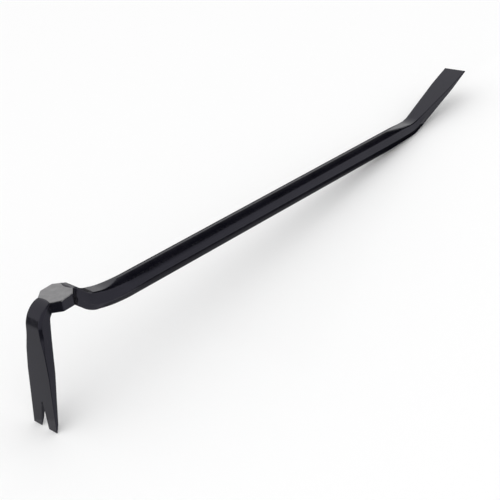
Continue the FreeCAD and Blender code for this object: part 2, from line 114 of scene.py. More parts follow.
# The chisel, by distance along the bar's middle line. In the frame its bend is made of straight steps, so the
# round underside is drawn a little shallower, which keeps it above the floor.
BEND_START = 396.0
BEND_RADIUS = 48.0
CHISEL_TURN = math.radians(22.8)
BLADE_START = BEND_START + BEND_RADIUS * CHISEL_TURN
BLADE_LENGTH = 87.8
BLADE_END = BLADE_START + BLADE_LENGTH
ROOT_HALF = 5.9
UNDER_ROOT = ROOT_HALF - 0.04
CHISEL_EDGE_HALF = 0.6
CHISEL_TOPS = [(366.0, TOP_EDGE_HEIGHT), (400.0, 7.1)]
CHISEL_TOPS += [(BLADE_START, ROOT_HALF), (BLADE_END, CHISEL_EDGE_HALF)]
CHISEL_FLATS = [(366.0, TOP_EDGE_FLAT), (383.6, 4.5), (400.0, 5.8), (BLADE_START, 6.9)]
CHISEL_RIDGES = [(372.0, SIDE_SWELL), (393.0, 2.3), (407.0, 1.6), (428.0, 0.0)]
CHISEL_WIDTHS = [(BLADE_START, CORNER), (BLADE_START + 60.0, 12.4), (BLADE_END, 13.0)]
UNDER_CHAMFER = 0.5
UNDER_DROP = 0.4
UNDER_FLATS = [(SHANK_LENGTH, TOP_EDGE_FLAT), (BEND_START, CORNER - UNDER_CHAMFER)]
UNDER_DEPTHS = [(SHANK_LENGTH, TOP_EDGE_HEIGHT), (BEND_START, UNDER_ROOT)]
UNDER_DEPTHS += [(BLADE_START, UNDER_ROOT), (BLADE_END, CHISEL_EDGE_HALF)]

# Where the octagon's upper facets shrink to the blade's narrow bevels: how far in they reach and drop.
SHARPEN_START = BLADE_START - 20.0
SHARPEN_END = BLADE_START + 6.0
BLADE_INSETS = [(SHARPEN_START, 1.6), (SHARPEN_END, 0.3)]
BLADE_DROPS = [(SHARPEN_START, 0.0), (SHARPEN_END, 0.25)]

# How a section is drawn: points round a corner and inside a facet, a facet's swelling, corners' rounding.
ARC_POINTS = 6
SPAN_POINTS = 2
FACET_CROWN = 0.2
EDGE_ROUND = 1.3
NECK_ROUND = 0.8
SHOULDER_ROUND = 1.2
BLADE_ROUND = 0.4

# The largest share of a side that one corner's rounding takes, where the side has one corner and where it has
# two, and the largest shares of a thickness that a bevel and an upper facet take.
LONE_CUT = 0.9
SHARED_CUT = 0.45
BEVEL_LIMIT = 0.4
DROP_LIMIT = 0.8

# How far on either side the bends of a soft line are rounded off.
CLAW_SOFT = 2.0
HEAD_SOFT = 0.8
NECK_SOFT = 2.5
RIDGE_SOFT = 3.0
CHISEL_SOFT = 3.0
CHISEL_RIDGE_SOFT = 4.0
BLADE_SOFT = 2.0
UNDER_SOFT = 0.1

# How many steps the stations take along each stretch.
SPLIT_STEPS = 2
SLOT_ROOT_STEPS = 5
TINE_STEPS = 24
CLAW_STEPS = 36
HEEL_RISE_STEPS = 8
HEEL_TURN_STEPS = 32
HEAD_STEPS = 40
HEAD_REAR_STEPS = 10
NECK_STEPS = 56
SHOULDER_STEPS = 30
SHANK_STEPS = 72
CHISEL_NECK_STEPS = 44
CHISEL_STEPS = 58

# The studio's sky and floor, in metres.
SKY_STRENGTH = 1.08
FLOOR_HALF = 8
FLOOR_GREY = 0.93
FLOOR_DEPTH = 0.7 * MM

# Sheets that only the gloss sees, which paint the dark and grey reflections on the lacquer: one overhead,
# facing the bar, one upright behind it, and some on the floor.
OVERHEAD_OUTLINE = [(-3.1, -1.5), (2.1, -1.5), (2.1, 1.5), (-3.1, 1.5)]
OVERHEAD_GREY = 0.01
OVERHEAD_AIM = (0.64, -0.30, 0.707)
OVERHEAD_DISTANCE = 2.6
UPRIGHT_OUTLINE = [(-2.8, 0), (-0.7, 0), (-0.7, 0.5), (-2.8, 0.5)]
UPRIGHT_GREY = 0.3
UPRIGHT_Y = 1.5
BY_HEAD = (-0.29, 0.03)
BY_CHISEL = (0.31, 0.01)
UNDER_CHISEL = (0.26, 0.0)
UNDER_SHANK = (-0.15, -0.035)
BEHIND_CLAW = (-0.46, 0.45)
# Painted reflections on the floor: each sheet's grey darkens what the facets mirror there.
PAINTED_FLOOR_REFLECTIONS = {
    "sheet_behind": (0.03, [BY_HEAD, BY_CHISEL, (6, 0.01), (6, 6), (-3, 6), BEHIND_CLAW]),
    "sheet_behind_left": (0.22, [BEHIND_CLAW, (-3, 6), (-6, 6), (-6, 0.45)]),
    "sheet_left": (0.62, [(-4, 0.0), (-0.33, 0.0), BY_HEAD, BEHIND_CLAW, (-4, 0.45)]),
    # A painted shadow: the shade on the floor under the bar, seen only in the gloss.
    "painted_shadow_below": (0.3, [BY_HEAD, (-0.24, -0.03), UNDER_SHANK, UNDER_CHISEL, BY_CHISEL]),
    # A painted dark strip of shade on the floor in front of the bar, seen only in the gloss.
    "painted_shade_before": (0.01, [UNDER_CHISEL, UNDER_SHANK, (-0.15, -0.15)]),
    "sheet_beside": (0.12, [(-4, -4), (-0.6, -4), (-0.37, -0.05), (-0.42, -0.02), (-4, -0.02)]),
}

# The camera: its turn about the vertical, its height and its roll, in degrees, and its place in millimetres.
CAMERA_AZIMUTH = -40.746
CAMERA_ELEVATION = 32.245
CAMERA_ROLL = -13.949
CAMERA_PLACE = (-592.115, -624.603, 532.106)


def soft_line(at, points, soft=1.0):
    """A value that runs straight from point to point, its bends rounded off over a length either side."""
    samples = 9

    def straight(x):
        k = 1
        while k < len(points) - 1 and x > points[k][0]:
            k += 1
        (x0, y0), (x1, y1) = points[k - 1], points[k]
        return y0 + (y1 - y0) * (x - x0) / (x1 - x0)

    steps = [soft * (2 * i / (samples - 1) - 1) for i in range(samples)]
    return sum(straight(at + step) for step in steps) / samples


def held(at, points, soft=1.0):
    """A soft line that keeps its end values beyond its ends."""
    (x0, y0), (x1, y1) = points[0], points[-1]
    reach = 1000.0
    return soft_line(at, [(x0 - reach, y0)] + points + [(x1 + reach, y1)], soft)


def ease(share):
    """Zero to one with a level start and end."""
    share = min(max(share, 0.0), 1.0)
    return share * share * (3 - 2 * share)


def steps_between(start, end, count):
    """Evenly spaced values, both ends included."""
    return [start + (end - start) * i / count for i in range(count + 1)]


def at_rest(x, y, z):
    """A point of the bar's own frame in millimetres, where the bar lies, in metres."""
    turned_x = x * math.cos(REST_SLOPE) + z * math.sin(REST_SLOPE)
    turned_z = z * math.cos(REST_SLOPE) - x * math.sin(REST_SLOPE)
    return Vector((turned_x + REST_FORWARD, y, turned_z + REST_LIFT)) * MM


def facet_points(start, end, crown):
    """Points inside a facet, which swells by the crown at its middle, with an edge share of zero."""
    along = end - start
    out = Vector((-along.y, along.x)).normalized()
    points = []
    for i in range(1, SPAN_POINTS + 1):
        share = i / (SPAN_POINTS + 1)
        points.append((start + along * share + out * crown * 4 * share * (1 - share), 0.0))
    return points


def corner_points(start, corner, end):
    """Points round a corner, with an edge share that is zero at both ends and one in the middle."""
    points = []
    for share in steps_between(0, 1, ARC_POINTS - 1):
        point = start * (1 - share) ** 2 + corner * 2 * share * (1 - share) + end * share**2
        points.append((point, math.sin(math.pi * share)))
    return points


class Station:
    """A section across the bar: where its foot is, which way is up in it, and the corners of its half."""

    def __init__(self, foot, up, corners, crown=0.0, rounding=EDGE_ROUND):
        self.foot = Vector(foot)
        self.up = Vector(up).normalized()
        self.corners = [Vector(corner) for corner in corners]
        self.crown = crown
        self.rounding = rounding

    def cuts(self):
        """Where each corner's rounding starts and ends. The two on the middle line aren't rounded."""
        tops = self.corners
        last = len(tops) - 1
        cuts = [(tops[0], tops[0])]
        for k in range(1, last):
            back = tops[k - 1] - tops[k]
            ahead = tops[k + 1] - tops[k]
            back_limit = (LONE_CUT if k == 1 else SHARED_CUT) * back.length
            ahead_limit = (LONE_CUT if k == last - 1 else SHARED_CUT) * ahead.length
            cut = min(self.rounding, back_limit, ahead_limit)
            cuts.append((tops[k] + back.normalized() * cut, tops[k] + ahead.normalized() * cut))
        cuts.append((tops[last], tops[last]))
        return cuts

    def outline(self):
        """Points (across, up) of the half section with their edge share, corners rounded, facets crowned."""
        cuts = self.cuts()
        last = len(cuts) - 1
        points = [(self.corners[0], 0.0)]
        for k in range(1, last + 1):
            crown = self.crown if 1 < k < last else 0.0
            points += facet_points(cuts[k - 1][1], cuts[k][0], crown)
            if k < last:
                points += corner_points(cuts[k][0], self.corners[k], cuts[k][1])
        points.append((self.corners[last], 0.0))
        return points

    def place(self, across, up):
        """A point of the section, where it lies at rest, in metres."""
        spot = self.foot + self.up * up
        return at_rest(spot.x, across, spot.y)


def slab_corners(thick, half_width, bevel, under_edge):
    """Corners of a flat section with its foot on the underside. Its upper and lower bevels differ."""
    bevel = min(bevel, BEVEL_LIMIT * thick)
    under_edge = min(under_edge, BEVEL_LIMIT * thick)
    return [
        (0, thick),
        (half_width - bevel, thick),
        (half_width, thick - bevel),
        (half_width, thick / 2),
        (half_width, under_edge),
        (half_width - under_edge, 0),
        (0, 0),
    ]


def claw_thickness(z):
    """Level distance between the claw's outer and inner face, without the bevel at the tips."""
    return (CLAW_INNER_X - CLAW_OUTER_X) + (INNER_LEAN - OUTER_LEAN) * z


def claw_station(z):
    """A level section of the claw, from its inner face to its outer one."""
    inner = CLAW_INNER_X + INNER_LEAN * z
    outer = CLAW_OUTER_X + OUTER_LEAN * z
    if z > HEEL_START_Z:
        outer = OUTER_CENTRE[0] - math.sqrt(heel_radius() ** 2 - (z - OUTER_CENTRE[1]) ** 2)
    thick = inner - outer
    if z < SPLIT_Z:
        knee = (TIP_BEVEL_Z, claw_thickness(TIP_BEVEL_Z))
        thick = soft_line(z, [(TIP_Z, TIP_THICKNESS), knee, (SPLIT_Z, claw_thickness(SPLIT_Z))])
    half_width = soft_line(z, CLAW_HALF_WIDTHS, CLAW_SOFT)
    bevel = soft_line(z, CLAW_BEVELS, CLAW_SOFT)
    corners = slab_corners(thick, half_width, bevel, CLAW_EDGE)
    return Station((outer + thick, z), (-1, 0), corners, rounding=CLAW_EDGE)


def heel_radius():
    """Radius of the heel's outer bend, which starts at the front end of the striking face."""
    rise = face_height(HEAD_FRONT_X) - OUTER_CENTRE[1]
    return math.hypot(HEAD_FRONT_X - OUTER_CENTRE[0], rise)


def heel_station(turn):
    """A section of the heel on a plane through the inner bend's centre, turned down towards the claw."""
    up = Vector((-math.sin(turn), math.cos(turn)))
    centre = Vector(INNER_CENTRE)
    ahead = Vector(OUTER_CENTRE) - centre
    reach = ahead.dot(up) + math.sqrt(ahead.dot(up) ** 2 - ahead.length_squared + heel_radius() ** 2)
    widening = math.sqrt(max(math.sin(turn), 0.0))
    half_width = FACE_END_HALF + (HEEL_SIDE_HALF - FACE_END_HALF) * widening
    bevel = HEEL_TOP_BEVEL + (HEEL_SIDE_BEVEL - HEEL_TOP_BEVEL) * math.sin(turn)
    corners = slab_corners(reach - INNER_RADIUS, half_width, bevel, CLAW_EDGE)
    return Station(centre + up * INNER_RADIUS, up, corners, rounding=CLAW_EDGE)


def face_height(x):
    """Height of the striking face above the shank's axis."""
    return FACE_REAR[1] + (x - FACE_REAR[0]) * FACE_SLOPE


def side_reach(x):
    """Half the width of the head and the neck, seen from above. A fillet leads from one into the other."""
    if x < HEAD_SIDE_END_X:
        return soft_line(x, FACE_OUTLINE, HEAD_SOFT)
    return soft_line(x, [FACE_OUTLINE[2], (FACE_REAR[0], CORNER), (0.0, CORNER)], NECK_SOFT)


def upright_station(foot, top, top_edge, under_edge):
    """A section of the head or the neck, whose sides stand upright above the outline seen from above."""
    up = Vector(top) - Vector(foot)
    thick = up.length
    up.normalize()
    middle_x = foot[0] + up.x * thick / 2
    dip = held(middle_x, SIDE_RIDGE_DIP, RIDGE_SOFT)
    ridge = held(middle_x, SIDE_RIDGE, RIDGE_SOFT)

    def reach(height):
        return side_reach(foot[0] + up.x * height)

    corners = [
        (0, thick),
        (reach(thick) - top_edge, thick),
        (reach(thick - top_edge), thick - top_edge),
        (reach(thick / 2 - dip) + ridge, thick / 2 - dip),
        (reach(under_edge), under_edge),
        (reach(0) - under_edge, 0),
        (0, 0),
    ]
    return Station(foot, up, corners, rounding=NECK_ROUND)


def rounded_path(corners, radii, arc_steps=10):
    """A line through corners in the side view, with arcs of the given radii at the inner ones."""
    path = [Vector(corners[0])]
    for before, corner, after, radius in zip(corners, corners[1:], corners[2:], radii):
        corner = Vector(corner)
        back = (Vector(before) - corner).normalized()
        ahead = (Vector(after) - corner).normalized()
        half_angle = back.angle(ahead) / 2
        inward = (back + ahead).normalized()
        centre = corner + inward * radius / math.sin(half_angle)
        start = corner + back * radius / math.tan(half_angle) - centre
        end = corner + ahead * radius / math.tan(half_angle) - centre
        for share in steps_between(0, 1, arc_steps):
            path.append(centre + start.lerp(end, share).normalized() * radius)
    path.append(Vector(corners[-1]))
    return path


def along_path(path, share):
    """The point at a share of a line's length."""
    lengths = [(b - a).length for a, b in zip(path, path[1:])]
    left = share * sum(lengths)
    for a, b, length in zip(path, path[1:], lengths):
        if left <= length:
            return a.lerp(b, left / length)
        left -= length
    return path[-1]


def shoulder_point(turn, up):
    """A point of the side view on the long bend behind the gooseneck."""
    reach = SHOULDER_RADIUS - up
    return (-reach * math.sin(turn), SHOULDER_RADIUS - reach * math.cos(turn))


def dive_end(start, end):
    """Where the line that dives from start meets the line that leads to the neck's end."""
    level = math.tan(NECK_TURN)
    rise = start[1] - end[1] - level * (end[0] - start[0])
    run = rise / (DIVE_SLOPE - level)
    return (start[0] + run, start[1] - DIVE_SLOPE * run)


def bar_corners(top, flat, high, ridge, dip, low, under_flat, bottom, wide=CORNER):
    """Corners of an octagon-like section with its foot on the middle line."""
    return [
        (0, top),
        (flat, top),
        (wide, high),
        (wide + ridge, -dip),
        (wide, -low),
        (under_flat, -bottom),
        (0, -bottom),
    ]


def shoulder_station(turn):
    """A section of the long bend, where the square neck swells into the octagon."""
    x = -SHOULDER_RADIUS * math.sin(turn)
    share = min(max((x - TOP_FLAT_START) / (TOP_FLAT_END - TOP_FLAT_START), 0.0), 1.0)
    flat = max((CORNER - NECK_EDGE) * (1 - share * share), TOP_EDGE_FLAT)
    swelling = (CORNER - NECK_EDGE - flat) / (CORNER - NECK_EDGE - TOP_EDGE_FLAT)
    octagon_drop = (CORNER - TOP_EDGE_FLAT) * FACET_SLOPE
    drop = NECK_EDGE + (octagon_drop - NECK_EDGE) * swelling
    high = NECK_HALF - NECK_EDGE + (CORNER - NECK_HALF + NECK_EDGE) * ease(share)
    ridge = held(x, SIDE_RIDGE, RIDGE_SOFT)
    dip = held(x, SIDE_RIDGE_DIP, RIDGE_SOFT)
    low = high + NECK_UNDER_SWELL * (1 - ease(share))
    corners = bar_corners(high + drop, flat, high, ridge, dip, low, flat, low + drop)
    up = (math.sin(turn), math.cos(turn))
    crown = FACET_CROWN * ease(share)
    rounding = NECK_ROUND + (SHOULDER_ROUND - NECK_ROUND) * share
    return Station(shoulder_point(turn, 0), up, corners, crown, rounding)


def middle_line(distance):
    """The point of the side view at a distance along the shank and the chisel, and the slope there."""
    turn = min(max(distance - BEND_START, 0.0) / BEND_RADIUS, CHISEL_TURN)
    beyond = max(distance - BLADE_START, 0.0)
    along = min(distance, BEND_START) + BEND_RADIUS * math.sin(turn) + beyond * math.cos(turn)
    height = BEND_RADIUS * (1 - math.cos(turn)) + beyond * math.sin(turn)
    return (along, height), turn


def chisel_station(distance):
    """A section of the shank or the chisel at a distance along the middle line."""
    foot, turn = middle_line(distance)
    wide = held(distance, CHISEL_WIDTHS, BLADE_SOFT) if distance > SHANK_LENGTH else CORNER
    top = held(distance, CHISEL_TOPS, CHISEL_SOFT)
    ridge = held(distance, CHISEL_RIDGES, CHISEL_RIDGE_SOFT)
    dip = held(distance, SIDE_RIDGE_DIP, RIDGE_SOFT)
    inset = max(wide - held(distance, CHISEL_FLATS, CHISEL_SOFT), 0.0)
    if distance > SHARPEN_START:
        inset = min(inset, held(distance, BLADE_INSETS, BLADE_SOFT))
    drop = max(inset * FACET_SLOPE, held(distance, BLADE_DROPS, BLADE_SOFT))
    drop = min(drop, DROP_LIMIT * top)
    bottom = held(distance, UNDER_DEPTHS, UNDER_SOFT)
    under_inset = CORNER - held(distance, UNDER_FLATS, UNDER_SOFT)
    low = bottom - min(max(under_inset * FACET_SLOPE, UNDER_DROP), BEVEL_LIMIT * bottom)
    corners = bar_corners(top, wide - inset, top - drop, ridge, dip, low, wide - under_inset, bottom, wide)
    up = (-math.sin(turn), math.cos(turn))
    blunt = ease((distance - SHANK_LENGTH) / (BLADE_START - SHANK_LENGTH))
    crown = FACET_CROWN * (1 - blunt)
    rounding = EDGE_ROUND + (BLADE_ROUND - EDGE_ROUND) * blunt
    return Station(foot, up, corners, crown, rounding)


class Form:
    """A closed mesh under construction, with a group name for each face."""

    def __init__(self, name):
        self.name = name
        self.points = []
        self.edge_shares = []
        self.faces = []
        self.groups = []

    def add_ring(self, ring):
        """Add a ring of (place, edge share) points and return their numbers."""
        first = len(self.points)
        self.points += [point for point, _ in ring]
        self.edge_shares += [share for _, share in ring]
        return list(range(first, first + len(ring)))

    def add_face(self, corners, group):
        self.faces.append(corners)
        self.groups.append(group)

    def join(self, ring, following, groups):
        """Quads from one ring to the next. groups names the group of each step around the ring."""
        count = len(ring)
        for i in range(count):
            after = (i + 1) % count
            self.add_face([ring[i], ring[after], following[after], following[i]], groups[i])


def full_ring(station):
    """A whole section: down one side from the top's middle and up the other."""
    half = station.outline()
    left = [(station.place(p.x, p.y), share) for p, share in half]
    right = [(station.place(-p.x, p.y), share) for p, share in half[-2:0:-1]]
    return left + right


def build_zone(name, stations):
    """The closed piece of skin between the first and the last station."""
    form = Form(name)
    rings = [form.add_ring(full_ring(station)) for station in stations]
    groups = ["skin"] * len(rings[0])
    for ring, following in zip(rings, rings[1:]):
        form.join(ring, following, groups)
    form.add_face(rings[0][::-1], "end")
    form.add_face(rings[-1], "end")
    return form


def slot_half(z):
    """Half the width of the nail slot at a height: zero above its closed end, which is round."""
    if z >= SLOT_ROOT_Z:
        return 0.0
    centre = SLOT_ROOT_Z - SLOT_ROOT_RADIUS
    if z > centre:
        return math.sqrt(max(SLOT_ROOT_RADIUS**2 - (z - centre) ** 2, 0.0))
    share = (centre - z) / (centre - TIP_Z)
    return SLOT_ROOT_RADIUS + (SLOT_MOUTH_HALF - SLOT_ROOT_RADIUS) * share


def build_tine(name, side, heights):
    """One prong of the claw: half of the claw's section, closed by the wall of the nail slot."""
    form = Form(name)
    wall_points = 3
    rings = []
    for z in heights:
        station = claw_station(z)
        slot = slot_half(z)
        half = station.outline()
        widest = max(p.x for p, _ in half)
        ring = [
            (station.place(side * (slot + p.x * (widest - slot) / widest), p.y), share)
            for p, share in half
        ]
        thick = half[0][0].y
        wall = steps_between(0, thick, wall_points)[1:-1]
        ring += [(station.place(side * slot, up), 0.0) for up in wall]
        rings.append(form.add_ring(ring))
    around = len(rings[0])
    for (ring, z), (following, z_next) in zip(zip(rings, heights), zip(rings[1:], heights[1:])):
        wall_group = "end" if min(z, z_next) >= SLOT_ROOT_Z else "slot"
        skin_steps = around - wall_points
        form.join(ring, following, ["skin"] * skin_steps + [wall_group] * wall_points)
    form.add_face(rings[0][::-1], "end")
    form.add_face(rings[-1], "tip")
    return form


def tine_heights():
    """Heights of the tines' sections, which follow the slot's round closed end."""
    centre = SLOT_ROOT_Z - SLOT_ROOT_RADIUS
    heights = steps_between(SPLIT_Z, SLOT_ROOT_Z, SPLIT_STEPS)[:-1]
    for turn in steps_between(0, 90, SLOT_ROOT_STEPS)[:-1]:
        heights.append(centre + SLOT_ROOT_RADIUS * math.cos(math.radians(turn)))
    return heights + steps_between(centre, TIP_Z, TINE_STEPS)


def heel_stations():
    """Sections up to the inner bend's centre, and then round it to the head."""
    rise = [claw_station(z) for z in steps_between(0, INNER_CENTRE[1], HEEL_RISE_STEPS)]
    turns = steps_between(math.radians(90), 0, HEEL_TURN_STEPS)[1:]
    return rise + [heel_station(turn) for turn in turns]


def head_station(foot_x, top_x):
    """A section of the head, whose top lies just under that of the ground face."""
    gap = HEAD_TOP_GAP * ease((top_x - HEAD_FRONT_X) / HEAD_GAP_RUN)
    top = (top_x, face_height(top_x) - gap)
    return upright_station((foot_x, HEAD_UNDER_Z), top, HEAD_TOP_EDGE, UNDER_EDGE)


def head_stations():
    """Upright sections to the head's rear corner, and then leaning ones to the rear end of its face."""
    stations = [head_station(x, x) for x in steps_between(HEAD_FRONT_X, HEAD_CORNER_X, HEAD_STEPS)]
    feet = steps_between(HEAD_CORNER_X, HEAD_UNDER_REAR_X, HEAD_REAR_STEPS)
    tops = steps_between(HEAD_CORNER_X, FACE_REAR[0], HEAD_REAR_STEPS)
    return stations + [head_station(foot_x, top_x) for foot_x, top_x in zip(feet[1:], tops[1:])]


def neck_stations():
    """Sections from the head down to the long bend, each from the neck's underside to its top."""
    over_start = (FACE_REAR[0], FACE_REAR[1] - HEAD_TOP_GAP)
    over_end = shoulder_point(NECK_TURN, NECK_HALF)
    over_corners = [over_start, NECK_CREST, dive_end(NECK_CREST, over_end), over_end]
    over = rounded_path(over_corners, OVER_RADII)
    under_start = (HEAD_UNDER_REAR_X, HEAD_UNDER_Z)
    under_end = shoulder_point(NECK_TURN, -NECK_HALF - NECK_UNDER_SWELL)
    under = rounded_path([under_start, dive_end(under_start, under_end), under_end], UNDER_RADII)
    stations = []
    for share in steps_between(0, 1, NECK_STEPS):
        edge = HEAD_TOP_EDGE + (NECK_EDGE - HEAD_TOP_EDGE) * ease(share / NECK_EDGE_SHARE)
        station = upright_station(along_path(under, share), along_path(over, share), edge, UNDER_EDGE)
        stations.append(station)
    return stations


def chisel_stations(start, end, count):
    """Sections of the shank or the chisel between two distances."""
    return [chisel_station(distance) for distance in steps_between(start, end, count)]


def make_forms():
    """Every zone of the forging, from the claw's tips to the chisel's edge."""
    heights = tine_heights()
    neck = neck_stations()
    shoulder = [shoulder_station(turn) for turn in steps_between(NECK_TURN, 0, SHOULDER_STEPS)]
    shank = chisel_stations(0, SHANK_LENGTH, SHANK_STEPS)
    neck[-1] = shoulder[0]
    shoulder[-1] = shank[0]
    return [
        build_tine("left_tine", 1, heights),
        build_tine("right_tine", -1, heights),
        build_zone("claw_blade", [claw_station(z) for z in steps_between(SPLIT_Z, 0, CLAW_STEPS)]),
        build_zone("claw_heel", heel_stations()),
        build_zone("striking_head", head_stations()),
        build_zone("gooseneck", neck),
        build_zone("neck_shoulder", shoulder),
        build_zone("shank", shank),
        build_zone("chisel_neck", chisel_stations(SHANK_LENGTH, BLADE_START, CHISEL_NECK_STEPS)),
        build_zone("chisel_blade", chisel_stations(BLADE_START, BLADE_END, CHISEL_STEPS)),
    ]


def spot(point):
    """A place that compares equal for points that coincide."""
    return tuple(round(value, 7) for value in point)


def turn_outward(form):
    """Flip every face if the form is inside out, which its volume shows."""
    volume = 0.0
    for face in form.faces:
        first = form.points[face[0]]
        for a, b in zip(face[1:], face[2:]):
            volume += first.dot(form.points[a].cross(form.points[b]))
    if volume < 0:
        form.faces = [face[::-1] for face in form.faces]


def make_objects(forms):
    """Turn the forms into meshes. Skin normals are shared between zones, so no cut shows in the light."""
    shared = {}
    meshes = []
    for form in forms:
        turn_outward(form)
        mesh = bpy.data.meshes.new(form.name + "_skin")
        mesh.from_pydata(form.points, [], form.faces)
        mesh.update()
        meshes.append(mesh)
        for face, group in zip(mesh.polygons, form.groups):
            if group not in ("skin", "slot"):
                continue
            for number in face.vertices:
                key = (group, spot(form.points[number]))
                shared[key] = shared.get(key, Vector()) + face.normal * face.area
    objects = {}
    for form, mesh in zip(forms, meshes):
        normals = []
        for face, group in zip(mesh.polygons, form.groups):
            for number in face.vertices:
                normal = shared.get((group, spot(form.points[number])), face.normal)
                normals.append(normal.normalized())
        mesh.polygons.foreach_set("use_smooth", [True] * len(mesh.polygons))
        mesh.normals_split_custom_set(normals)
        # Edge shares for the lacquer, whose lighter edges are partly wear and partly a painted highlight.
        edge_wear_and_highlight = mesh.attributes.new("edge", "FLOAT", "POINT")
        edge_wear_and_highlight.data.foreach_set("value", form.edge_shares)
        piece = bpy.data.objects.new(form.name + "_skin", mesh)
        bpy.context.scene.collection.objects.link(piece)
        objects[form.name] = piece
    return objects


def hollow(across, depth):
    """How far the hollow in an end of the ground face reaches in, at a share of the half width."""
    radius = (FACE_END_HALF**2 + depth**2) / (2 * depth)
    return depth - radius + math.sqrt(radius**2 - (across * FACE_END_HALF) ** 2)


def face_half(x):
    """Half the width of the ground face."""
    for (x0, y0), (x1, y1) in zip(FACE_OUTLINE, FACE_OUTLINE[1:]):
        if x <= x1:
            return y0 + (y1 - y0) * (x - x0) / (x1 - x0)
    return FACE_OUTLINE[-1][1]


def face_place(along, across, up):
    """A point of the ground face, by its shares of the length and of the half width, at rest."""
    plain_x = HEAD_FRONT_X + (FACE_REAR[0] - HEAD_FRONT_X) * along
    front_x = HEAD_FRONT_X + hollow(across, FRONT_HOLLOW)
    rear_x = FACE_REAR[0] - hollow(across, REAR_HOLLOW)
    x = front_x + (rear_x - front_x) * along
    return at_rest(x, across * face_half(plain_x), face_height(x) + up)


def face_alongs():
    """Shares of the face's length for its rows, with a row at each corner of the outline."""
    knots = [(x - HEAD_FRONT_X) / (FACE_REAR[0] - HEAD_FRONT_X) for x, _ in FACE_OUTLINE]
    alongs = []
    for start, end in zip(knots, knots[1:]):
        count = max(round(FACE_LENGTH_STEPS * (end - start)), 1)
        alongs += steps_between(start, end, count)[:-1]
    return alongs + [1.0]


def rim(grid):
    """The numbers round the edge of a grid, in order."""
    first = [row[0] for row in grid]
    last = [row[-1] for row in grid]
    return first + grid[-1][1:-1] + last[::-1] + grid[0][-2:0:-1]


def build_face():
    """The ground face: a plate with hollowed ends."""
    form = Form("striking_face")
    acrosses = steps_between(-1, 1, FACE_WIDTH_STEPS)

    def add_grid(up):
        rows = []
        for along in face_alongs():
            rows.append(form.add_ring([(face_place(along, across, up), 0.0) for across in acrosses]))
        return rows

    top = add_grid(0.0)
    bottom = add_grid(-FACE_DEPTH)
    for grid, order in ((top, 1), (bottom, -1)):
        for row, after in zip(grid, grid[1:]):
            for j in range(len(row) - 1):
                quad = [row[j], after[j], after[j + 1], row[j + 1]]
                form.add_face(quad[::order], "flat")
    rim_top = rim(top)
    rim_bottom = rim(bottom)
    for i in range(len(rim_top)):
        after = (i + 1) % len(rim_top)
        form.add_face([rim_top[i], rim_bottom[i], rim_bottom[after], rim_top[after]], "flat")
    return form


def make_face():
    """The ground face's mesh, with a fine broken edge all round."""
    form = build_face()
    turn_outward(form)
    mesh = bpy.data.meshes.new("striking_face_plate")
    mesh.from_pydata(form.points, [], form.faces)
    mesh.update()
    piece = bpy.data.objects.new("striking_face_plate", mesh)
    bpy.context.scene.collection.objects.link(piece)
    broken = piece.modifiers.new("broken_edge", "BEVEL")
    broken.width = FACE_BROKEN_EDGE * MM
    broken.segments = 2
    broken.limit_method = "ANGLE"
    broken.angle_limit = math.radians(50)
    return piece


def node_maker(material):
    """A short way to add and wire shader nodes."""
    tree = material.node_tree

    def add(kind, inputs=None, **settings):
        node = tree.nodes.new(kind)
        for key, value in settings.items():
            setattr(node, key, value)
        for key, value in (inputs or {}).items():
            if isinstance(value, bpy.types.NodeSocket):
                tree.links.new(value, node.inputs[key])
            else:
                node.inputs[key].default_value = value
        return node

    return add


def new_material(name):
    """A material with an empty node tree."""
    material = bpy.data.materials.new(name)
    material.use_nodes = True
    material.node_tree.nodes.clear()
    return material


def ramp(add, factor, low, high, start, end):
    """A value turned into a colour between two others."""
    node = add("ShaderNodeValToRGB", {"Fac": factor})
    node.color_ramp.elements[0].position = start
    node.color_ramp.elements[0].color = (*low, 1)
    node.color_ramp.elements[1].position = end
    node.color_ramp.elements[1].color = (*high, 1)
    return node.outputs["Color"]


def noise(add, place, scale, detail, roughness=0.5):
    """Cloudy noise between zero and one."""
    settings = {"Vector": place, "Scale": scale, "Detail": detail, "Roughness": roughness}
    return add("ShaderNodeTexNoise", settings).outputs["Fac"]


def spread(add, value, start, end, low=0.0, high=1.0):
    """A value's range from start to end, stretched to the range from low to high."""
    limits = {"Value": value, "From Min": start, "From Max": end, "To Min": low, "To Max": high}
    return add("ShaderNodeMapRange", limits).outputs["Result"]


def blend(add, factor, first, second, kind="MIX"):
    """Two colours laid over each other by a factor."""
    colours = {"Factor": factor, "A": first, "B": second}
    return add("ShaderNodeMix", colours, data_type="RGBA", blend_type=kind).outputs["Result"]


def relief(add, height, strength, depth):
    """Normals that show a height as fine relief, its depth in millimetres."""
    settings = {"Height": height, "Strength": strength, "Distance": depth * MM}
    return add("ShaderNodeBump", settings).outputs["Normal"]


